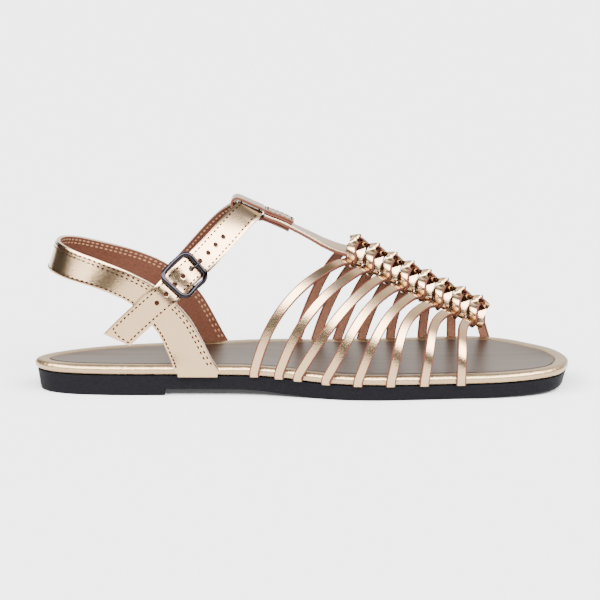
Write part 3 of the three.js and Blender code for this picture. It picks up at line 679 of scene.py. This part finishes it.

# Bar: two glued layers of leather that run from the loop down the instep. The upper one is gold and
# ends at the first knot, and the lower one goes on under all eight knots, its brown side showing. It
# is dark brown on every face, painted shade for the dark gaps round the beads.
ankle_wide = 12.6
bar_start = strap_centre + ankle_wide / 2 + 4 * gap
bar_end = knot_start + 8 * knot_pitch
layer_thick = 0.9
bar_steps = 80
layers = []
for z, end, wide, cover in [
    (0.45, knot_start + 3, 11, [gold, raw_edge, cream_edge_highlight]),
    # the lower layer is brown on every face: painted shade in the gaps between the knots
    (-0.5, bar_end, 12.4, [raw_edge] * 3),
]:
    stations = [spine_frame(bar_start + (end - bar_start) * i / bar_steps) for i in range(bar_steps + 1)]
    bar_track = make_track(stations)
    layer = flat_strap("bar", bar_track[0], wide, layer_thick, cover, 80)
    layer.data.transform(Matrix.Translation((0, 0, z)))
    layers.append(lay(layer, bar_track))
finish_piece(join(layers, "central_bar"), "strap_leather")

# Knots: every strap end is a strip that arches over both edges of the bar in a tight bead, and
# behind each bead the strap's other end stands as an open ring, lining inwards.
edge_share = 0.36
knot_steps = 60


def knot_strip(k, rows, wide, thick, tilt, trim, columns=44, crown=0.35, skew=0.0):
    """A strip through rows of places in the knot's frame: along the bar, across it and up"""
    start = knot_start + k * knot_pitch
    line = curve_through([on_spine(start + along, across, up) for along, across, up in rows])
    heart = curve_through([on_spine(start + along, 0, 2) for along, _, _ in rows])
    points = [line(i / knot_steps)[0] for i in range(knot_steps + 1)]
    faces = [p - heart(i / knot_steps)[0] for i, p in enumerate(points)]
    stations = []
    for i, (point, side, face) in enumerate(with_sides(points, faces)):
        along = (points[min(i + 1, knot_steps)] - points[max(i - 1, 0)]).normalized()
        tipped = Matrix.Rotation(math.radians(tilt), 3, along)
        stations.append((point, tipped @ side, tipped @ face))
    track = make_track(stations)
    long = track[0]
    strip = flat_strap("knot", long, lambda x: row_value(wide, x / long), thick, leathers, columns,
                       rows=6, crown=crown, skew=skew)
    for polygon in strip.data.polygons:
        share = polygon.center.y / row_value(wide, min(1, max(0, polygon.center.x / long)))
        if polygon.material_index == 0 and share * trim > edge_share:
            polygon.material_index = 2
    return lay(strip, track)


bead_rows = [
    (3.9, -5.0, -4.4), (3.6, -7.2, -2.9), (2.8, -8.3, -0.4), (1.6, -8.0, 2.2), (0.6, -6.1, 4.6),
    (0.9, -3.4, 4.3), (1.6, -0.4, 3.2), (1.7, 2.2, 4.4), (1.3, 5.4, 6.5), (1.6, 7.4, 5.0),
    (2.4, 8.0, 2.9), (3.2, 7.3, 0.6), (3.6, 5.2, -1.2),
]
bead_wide = [
    (0, 1.5), (0.06, 2.6), (0.14, 4.7), (0.25, 5.0), (0.34, 4.6), (0.5, 4.2), (0.66, 5.2), (0.8, 4.8),
    (0.94, 2.6), (1, 2.0),
]
near_ring = [(4.2, -5.4, 4.4), (4.9, -6.6, 2.9), (5.7, -7.6, 0.9), (6.4, -8.0, -0.8), (6.6, -7.0, -2.4)]
near_wide = [(0, 6.0), (0.2, 5.2), (0.45, 4.1), (0.7, 3.5), (1, 3.2)]
far_ring = [
    (5.6, 2.2, 4.0), (5.4, 5.4, 6.0), (5.6, 7.3, 4.6), (5.9, 7.9, 2.4), (6.4, 7.2, 0.4), (6.6, 5.6, -1.2),
]
far_wide = [(0, 6.4), (0.5, 6.2), (1, 3.4)]
knots = []
for k in range(8):
    knots.append(knot_strip(k, bead_rows, bead_wide, 1.1, -28, 1))
    knots.append(knot_strip(k, near_ring, near_wide, 0.9, 0, 0, columns=20, crown=0.25, skew=0.5))
    knots.append(knot_strip(k, far_ring, far_wide, 0.9, 18, 0, columns=26, crown=0.25))
finish_piece(join(knots, "knots"), "strap_leather")

# Heel strap: one wide strap of the same leather, lined in brown and stitched along its edges. It
# rises from under the footbed on both sides and runs round the back of the heel.
quarter_wide = 18.4
heel_thick = 2.1
leather_thick = 1.9
heel_start = 0.306
inner_lead = 4
heel_lean = math.radians(18)
lean_from, lean_to = 0.56, 0.74
foot_share = 0.25
heel_steps = 200
heel_rows = [
    (0.296, 0.997, 0.195, 0.95), (0.283, 0.988, 0.275, 0.93), (0.265, 0.974, 0.376, 0.89),
    (0.241, 0.955, 0.460, 0.82), (0.218, 0.932, 0.525, 0.75), (0.181, 0.892, 0.588, 0.69),
    (0.122, 0.800, 0.652, 0.69), (0.072, 0.640, 0.692, 0.73), (0.044, 0.360, 0.711, 0.76),
]
heel_back = (0.035, 0, 0.715, 0.77)
heel_feet = {
    -1: edge_at_x(-1, heel_start * shoe_length),
    1: edge_at_x(1, heel_start * shoe_length + inner_lead),
}
heel_span = {hand: heel_feet[hand][0].y + hand * (gap + heel_thick / 2) for hand in (-1, 1)}
heel_middle = (heel_span[-1] + heel_span[1]) / 2


def heel_point(side, row):
    share = (row[0] - heel_back[0]) / (heel_start - heel_back[0])
    return Vector((
        row[0] * shoe_length + (inner_lead if side > 0 else 0) * share,
        heel_middle + (heel_span[side] - heel_middle) * row[1],
        row[2] * ankle_height,
    ))


heel_curve = curve_through(
    [beside_edge(heel_feet[-1], 0, heel_thick)]
    + [heel_point(-1, row) for row in heel_rows]
    + [heel_point(-1, heel_back)]
    + [heel_point(1, row) for row in reversed(heel_rows)]
    + [beside_edge(heel_feet[1], 0, heel_thick)]
)
heel_widths = [1.0] + [row[3] for row in heel_rows] + [heel_back[3]]


def foot_level(side):
    """The way across the strap at its foot, level along the sole"""
    return Vector((0, 0, 1)).cross(heel_feet[side][1]) * -side


def heel_frame(t):
    """Point, slanted width and face of the heel strap, and how far it has come round"""
    point, along = heel_curve(t)
    plan = Vector((along.x, along.y, 0)).normalized()
    side = -1 if t < 0.5 else 1
    rise = 1 - abs(2 * t - 1)
    blend = smooth_step(rise, 0, foot_share)
    face = heel_feet[side][1].lerp(Vector((-plan.y, plan.x, 0)), blend).normalized()
    lean = heel_lean * smooth_step(rise, lean_from, lean_to)
    face = face * math.cos(lean) + Vector((0, 0, math.sin(lean)))
    face = (face - along * face.dot(along)).normalized()
    square = along.cross(face)
    level = foot_level(side).lerp(square, blend).normalized()
    return point, level / level.dot(square), face, rise


def foot_stations(side, turns):
    """The end of the strap where it is lasted in under the footbed's edge"""
    stations = []
    for degrees in turns:
        angle = math.radians(degrees)
        face = heel_feet[side][1] * math.cos(angle) + Vector((0, 0, math.sin(angle)))
        stations.append((beside_edge(heel_feet[side], angle, heel_thick), foot_level(side), face, 0))
    return stations


heel_stations = foot_stations(-1, lasted_under)
heel_stations += [heel_frame(i / heel_steps) for i in range(heel_steps + 1)]
heel_stations += foot_stations(1, reversed(lasted_under))
heel_track = make_track([station[:3] for station in heel_stations])
heel_long = heel_track[0]
rises = []
so_far = 0
for (p, _, _, _), (q, _, _, rise) in zip(heel_stations, heel_stations[1:]):
    so_far += (q - p).length
    rises.append((so_far, rise))


def heel_wide(x):
    """Width of the strap that far along it"""
    i = min(bisect.bisect_left(rises, (x, 0)), len(rises) - 1)
    place = rises[i][1] * (len(heel_widths) - 1)
    row = min(int(place), len(heel_widths) - 2)
    here, ahead = heel_widths[row], heel_widths[row + 1]
    return quarter_wide * (here + (ahead - here) * (place - row))


def stitch_row(track, points, lift, material, pitch=2.4, height=0.2, wide=0.42):
    """Stitches along a line drawn on the flat strap, each two thirds of the pitch long"""
    line = [Vector((x, y, 0)) for x, y in points]
    ends = [0.0]
    for p, q in zip(line, line[1:]):
        ends.append(ends[-1] + (q - p).length)
    count = max(1, round(ends[-1] / pitch))
    made = []

    def spot(distance):
        i = min(max(bisect.bisect_right(ends, distance) - 1, 0), len(ends) - 2)
        flat = line[i].lerp(line[i + 1], (distance - ends[i]) / max(ends[i + 1] - ends[i], 1e-9))
        point, side, face = track[1](flat.x)
        return point + side * flat.y + face * lift, face

    bpy.ops.mesh.primitive_uv_sphere_add(segments=8, ring_count=4, radius=1)
    first = bpy.context.object
    for i in range(count):
        here, face = spot(ends[-1] * (i + 0.5) / count)
        front, _ = spot(ends[-1] * (i + 0.9) / count)
        back, _ = spot(ends[-1] * (i + 0.1) / count)
        along = (front - back).normalized()
        face = (face - along * face.dot(along)).normalized()
        basis = Matrix((along, face.cross(along), face)).transposed().to_4x4()
        stitch = first.copy()
        stitch.data = first.data.copy()
        size = Matrix.Diagonal((0.33 * pitch, wide, height, 1))
        stitch.data.transform(Matrix.Translation(here) @ basis @ size)
        stitch.data.materials.append(material)
        bpy.context.collection.objects.link(stitch)
        made.append(stitch)
    bpy.data.objects.remove(first)
    return made


def edge_line(wide, start, end, inset, hand, steps=120):
    """Places for stitches at a constant distance from one edge of a strap"""
    places = []
    for i in range(steps + 1):
        x = start + (end - start) * i / steps
        half = (wide(x) if callable(wide) else wide) / 2
        places.append((x, hand * (half - inset)))
    return places


thread = new_material("beige_thread", (0.20, 0.105, 0.055), 0.6, shine=0.1)
pricked = new_material("brown_thread", (0.016, 0.0045, 0.0025), 0.8, shine=0.02)
seam_out = 0.96
heel_strap = flat_strap("heel_strap_leather", heel_long, heel_wide, leather_thick,
                        [gold, lining, cream_edge_highlight], 260, rows=10, edge_round=0.35)
lay(heel_strap, heel_track)
seams = []
for hand, inset in [(1, 1.5), (1, 3.1), (-1, 1.2)]:
    seam = edge_line(heel_wide, 5, heel_long - 5, inset, hand)
    seams += stitch_row(heel_track, seam, seam_out, pricked)
    seams += stitch_row(heel_track, seam, -seam_out, thread)
finish_piece(heel_strap, "strap_leather", "heel_strap")
finish_piece(join(seams, "heel_strap_seams"), "strap_leather")

# Ankle strap: from its end inside the inner quarter up and over the instep, down through the
# buckle and on across the outer quarter to its cut tip. Of its nine punched holes, the four in the
# tail stop short of the back, on brown floors of painted shade for the dark seen through a hole.
ankle_thick = 2
ankle_rows = [
    (0.158, 0.318, -1, None), (0.178, 0.376, -1, None), (0.212, 0.468, -1, None), (0.248, 0.562, -1, None),
    (0.280, 0.653, 0, -0.325), (0.310, 0.722, 0, -0.284), (0.347, 0.820, 0, -0.195),
    (0.384, 0.921, 0, -0.100), (0.4008, 0.958, 0, -0.044), (0.401, 0.959, 0, 0.034),
    (0.4008, 0.958, 0, 0.112), (0.385, 0.921, 0, 0.168), (0.356, 0.845, 0, 0.236),
    (0.327, 0.750, 0, 0.290), (0.283, 0.595, 1, None), (0.258, 0.515, 1, None),
]
tab_thick = 0.9
ride_out = {
    -1: heel_thick / 2 + 2 * gap + 2 * tab_thick + gap + 2 * gap + ankle_thick / 2,
    1: heel_thick / 2 + gap + ankle_thick / 2,
}
crossing_at = {-1: 0.205, 1: 0.835}
crossing = {side: heel_frame(share) for side, share in crossing_at.items()}
strap_crown = spine_frame(strap_centre)[2]
crown_wide = 0.2 * ball_width


def ankle_place(row):
    along, up, rides, across = row
    point = Vector((along * shoe_length, (across or 0) * ball_width, up * ankle_height))
    if rides:
        origin, _, face, _ = crossing[rides]
        point.y += (ride_out[rides] - face.dot(point - origin)) / face.y
        return point, face.copy()
    from_bar = point.y - spine_y
    flat = Vector((0, math.copysign(1, from_bar), 0))
    return point, flat.lerp(strap_crown, math.exp(-((from_bar / crown_wide) ** 2))).normalized()


ankle_places = [ankle_place(row) for row in ankle_rows]
ankle_curve = curve_through([point for point, _ in ankle_places])


def ankle_station(t):
    point, along = ankle_curve(t)
    i = t * (len(ankle_places) - 1)
    low = min(int(i), len(ankle_places) - 2)
    face = ankle_places[low][1].lerp(ankle_places[low + 1][1], smooth_step(i - low, 0, 1))
    face = (face - along * face.dot(along)).normalized()
    return point, along.cross(face), face


ankle_steps = 450
ankle_stations = [ankle_station(i / ankle_steps) for i in range(ankle_steps + 1)]
ankle_track = make_track(ankle_stations)
ankle_long = ankle_track[0]
buckle_row = 4
buckle_step = round(ankle_steps * buckle_row / (len(ankle_rows) - 1))
to_buckle = make_track(ankle_stations[:buckle_step + 1])[0]
bulge_high = 1.6
bulge_long = 5


def bulge(along):
    return bulge_high * math.exp(-((along / bulge_long) ** 2))


def raised_ankle(distance):
    """The strap's own line, lifted where it rides over the buckle's bar"""
    point, side, face = ankle_track[1](distance)
    return point + face * bulge(distance - to_buckle), side, face


def on_ankle(along, across, out):
    point, side, face = ankle_track[1](to_buckle + along)
    return point + side * across + face * out


prong_hole = 4.8
hole_pitch = 5.6
hole_radius = 1.15
holes = [(to_buckle + prong_hole + hole_pitch * k, hole_radius, k >= 0) for k in range(-4, 5)]
raised_track = (ankle_long, raised_ankle)
ankle_strap = flat_strap("ankle_strap_leather", ankle_long, ankle_wide, leather_thick,
                         [gold, lining, cream_edge_highlight], 240, rows=8, edge_round=0.35, skew=0.4, holes=holes)
lay(ankle_strap, raised_track)
seam_end = ankle_long - 4
seam_inset = 1.7
seam = edge_line(ankle_wide, seam_end, 3.0, seam_inset, 1) + [(1.9, 0)]
seam += edge_line(ankle_wide, 2.2, seam_end, seam_inset, -1)
seams = stitch_row(raised_track, seam, seam_out, pricked) + stitch_row(raised_track, seam, -seam_out, thread)
finish_piece(ankle_strap, "strap_leather", "ankle_strap")
finish_piece(join(seams, "ankle_strap_seams"), "strap_leather")

# Loop: a strip of the bar's leather folded round the ankle strap, with an end glued to each face of
# the bar and a short patch stitched over the upper one.
loop_thick = 1.2
loop_leather = 1.1
loop_wide = 11
leg_long = 13.5
loop_steps = 160
eye = ankle_thick / 2 + 3 * gap + loop_thick / 2
leg = layer_thick + gap + loop_thick / 2
eye_end = strap_centre + ankle_wide / 2
leg_end = bar_start + leg_long
turn_centre = strap_centre - ankle_wide / 2
legs = [
    (leg_end, leg), ((leg_end + bar_start) / 2, leg), (bar_start, leg), (eye_end, eye), (strap_centre, eye),
]
loop_points = [on_spine(distance, 0, rise) for distance, rise in legs]
loop_faces = [spine_frame(distance)[2] for distance, _ in legs]
_, turn_side, turn_face = spine_frame(turn_centre)
turn_along = turn_side.cross(turn_face)
for i in range(7):
    angle = math.pi / 2 + i * math.pi / 6
    way = turn_along * math.cos(angle) + turn_face * math.sin(angle)
    loop_points.append(on_spine(turn_centre, 0, 0) + way * eye)
    loop_faces.append(way)
for distance, rise in reversed(legs):
    loop_points.append(on_spine(distance, 0, -rise))
    loop_faces.append(-spine_frame(distance)[2])
loop_line = curve_through(loop_points)
points, faces = [], []
for i in range(loop_steps + 1):
    place = i / loop_steps * (len(loop_points) - 1)
    low = min(int(place), len(loop_points) - 2)
    points.append(loop_line(i / loop_steps)[0])
    faces.append(loop_faces[low].lerp(loop_faces[low + 1], place - low))
loop_track = make_track(with_sides(points, faces))
loop = flat_strap("strap_loop", loop_track[0], loop_wide, loop_leather, leathers, 120, rows=6)
lay(loop, loop_track)
patch_start = bar_start - 0.6
patch_lift = leg + 0.95
patch_wide = 10.6
patch_thick = 0.8
patch_steps = 40
patch_step = 0.36
patch_stations = []
for i in range(patch_steps + 1):
    distance = patch_start + i * patch_step
    patch_stations.append((on_spine(distance, 0, patch_lift), *spine_frame(distance)[1:]))
patch_track = make_track(patch_stations)
patch = flat_strap("loop_patch", patch_track[0], patch_wide, patch_thick, [gold, raw_edge, raw_edge], 30)
lay(patch, patch_track)
corners = [(1.2, -4.2), (1.2, 4.2), (13.2, 4.2), (13.2, -4.2), (1.2, -4.2)]
seam = []
for a, b in zip(corners, corners[1:]):
    seam += [(a[0] + (b[0] - a[0]) * i / 8, a[1] + (b[1] - a[1]) * i / 8) for i in range(8)]
seam.append(corners[0])
finish_piece(join(stitch_row(patch_track, seam, 0.40, pricked), "loop_seam"), "strap_leather")
finish_piece(join([loop, patch], "strap_loop"), "strap_leather", "tbar_loop")

# Buckle: a rounded frame of dark nickel wire that lies over the strap at both ends and dips to
# its centre bar under it, where the tab of leather and the prong turn.
wire = 1.4
bar_wire = 1.1
ring_radius = bar_wire * math.sqrt(0.5) + gap + tab_thick / 2
bar_level = bulge_high - ankle_thick / 2 - gap - tab_thick / 2 - ring_radius
buckle_long = 17
frame_long = (buckle_long - wire) / 2
frame_wide = ankle_wide / 2 + gap + wire / 2
corner = 3.2
end_level = bulge(frame_long - corner) + ankle_thick / 2 + gap + wire / 2
frame_dip = 0.9
frame_ease = 1.06
nickel = new_material("dark_nickel", (0.021, 0.018, 0.021), 0.12, 1.0)


def frame_point(share):
    """Middle of the frame's wire: along the strap, across it, out from it"""
    flat_long, flat_wide = frame_long - corner, frame_wide - corner
    quarter_turn = corner * math.pi / 2
    lengths = [2 * flat_wide, quarter_turn, 2 * flat_long, quarter_turn] * 2
    distance = (share % 1) * sum(lengths)
    i = 0
    while distance > lengths[i] and i < 7:
        distance -= lengths[i]
        i += 1
    starts = [
        (frame_long, -flat_wide, 0, 1), (flat_long, flat_wide, 0, 0), (flat_long, frame_wide, -1, 0),
        (-flat_long, flat_wide, 90, 0), (-frame_long, flat_wide, 0, -1), (-flat_long, -flat_wide, 180, 0),
        (-flat_long, -frame_wide, 1, 0), (flat_long, -flat_wide, 270, 0),
    ]
    a, w, p, q = starts[i]
    if i % 2:
        angle = math.radians(p) + distance / corner
        a, w = a + corner * math.cos(angle), w + corner * math.sin(angle)
    else:
        a, w = a + p * distance, w + q * distance
    dip = frame_dip * (1 - min(1, abs(a) / frame_long) ** 2)
    return on_ankle(a * frame_ease, w * frame_ease, end_level - dip)


def tube(name, line, radii, around=16, along=120, closed=False):
    """Round wire along a line; radii may change along it: across the line, then out from it"""
    def place(u, w):
        point = line(u)
        step = 0.5 / along
        ahead = line(u + step if closed else min(1, u + step))
        behind = line(u - step if closed else max(0, u - step))
        direction = (ahead - behind).normalized()
        face = ankle_track[1](to_buckle)[2]
        side = direction.cross(face).normalized()
        face = side.cross(direction)
        angle = w * math.tau
        across, out = radii(u) if callable(radii) else radii
        return point + side * across * math.cos(angle) + face * out * math.sin(angle)
    wire_piece = shaped_grid(name, along, around, place)
    close_up(wire_piece, fill=not closed)
    return wire_piece


ring_wire = (1.15, 0.75)
ring = tube("buckle_ring", frame_point, ring_wire, closed=True)


def bar_point(share):
    across = (2 * share - 1) * frame_wide
    rise = smooth_step(abs(across), ankle_wide / 2 - 0.3, frame_wide)
    return on_ankle(0, across, bar_level + (end_level - frame_dip - bar_level) * rise)


centre_bar = tube("buckle_bar", bar_point, (bar_wire / 2, bar_wire / 2), along=60)
buckle = join([ring, centre_bar], "buckle_frame_wire")
buckle.data.materials.append(nickel)
finish_piece(buckle, "buckle_metal", "buckle_frame", smooth=60)

hole = 0.9
prong_thick = 0.8
over = end_level + wire / 2 + gap + prong_thick / 2


def round_bar(degrees):
    """A place on the circle round the centre bar: along the strap and out from it"""
    angle = math.radians(degrees)
    return ring_radius * math.cos(angle), bar_level + ring_radius * math.sin(angle)


prong_rows = [round_bar(degrees) for degrees in (130, 165, 200, 235, 270, 305, 340)]
prong_rows += [
    (prong_hole - 1.4 * hole, bar_level + prong_thick / 8),
    (prong_hole - 0.1 * hole, bar_level + ring_radius),
    (prong_hole + 0.6 * hole, over - 1.25 * prong_thick), (prong_hole + 1.8 * hole, over),
    (frame_long + wire / 2, over),
]
prong_line = curve_through([on_ankle(a, 0, out) for a, out in prong_rows])


def prong_wire(u):
    """Half its width and half its height; it thins towards the tip"""
    tip = smooth_step(u, 0.8, 1)
    return 0.62 - 0.2 * tip, 0.42 - 0.12 * tip


prong = tube("buckle_pin", lambda u: prong_line(u)[0], prong_wire, around=12)
prong.data.materials.append(nickel)
finish_piece(prong, "buckle_metal", "buckle_prong", smooth=60)

tab_outer = -(ankle_thick / 2 + 2 * gap + tab_thick / 2)
tab_inner = tab_outer - tab_thick - gap
tab_long = 19
tab_wide = 9
tab_steps = 120
tab_legs = [tab_long * share for share in (1, 0.84, 0.68, 0.53, 0.4)]
tab_rows = [(-a, tab_outer) for a in tab_legs] + [(-2.2 * ring_radius, tab_outer / 2)]
tab_rows += [round_bar(degrees) for degrees in (90, 60, 30, 0, -30, -60, -90)]
tab_rows += [(-2.6 * ring_radius, tab_inner)] + [(-a, tab_inner) for a in reversed(tab_legs)]
tab_line = curve_through([on_ankle(a, 0, out) for a, out in tab_rows])
_, side, face = ankle_track[1](to_buckle)
points = [tab_line(i / tab_steps)[0] for i in range(tab_steps + 1)]
faces = []
for i in range(tab_steps + 1):
    step = points[min(i + 1, tab_steps)] - points[max(i - 1, 0)]
    faces.append(side.cross(step))
tab_track = make_track(with_sides(points, faces))
tab = flat_strap("buckle_tab_leather", tab_track[0], tab_wide, tab_thick, leathers, 90)
lay(tab, tab_track)

# the slot that the prong comes through
slot_wide = 1.3 + 2 * gap
bpy.ops.mesh.primitive_cube_add(size=1)
slot = bpy.context.object
slot.data.transform(
    Matrix.Translation(on_ankle(ring_radius * 1.5, 0, bar_level))
    @ Matrix((side, face.cross(side), face)).transposed().to_4x4()
    @ Matrix.Diagonal((slot_wide, 8 * ring_radius, 8 * ring_radius, 1)))
modify(tab, "BOOLEAN", object=slot, operation="DIFFERENCE", solver="EXACT")
bpy.data.objects.remove(slot)
finish_piece(tab, "strap_leather", "buckle_tab")
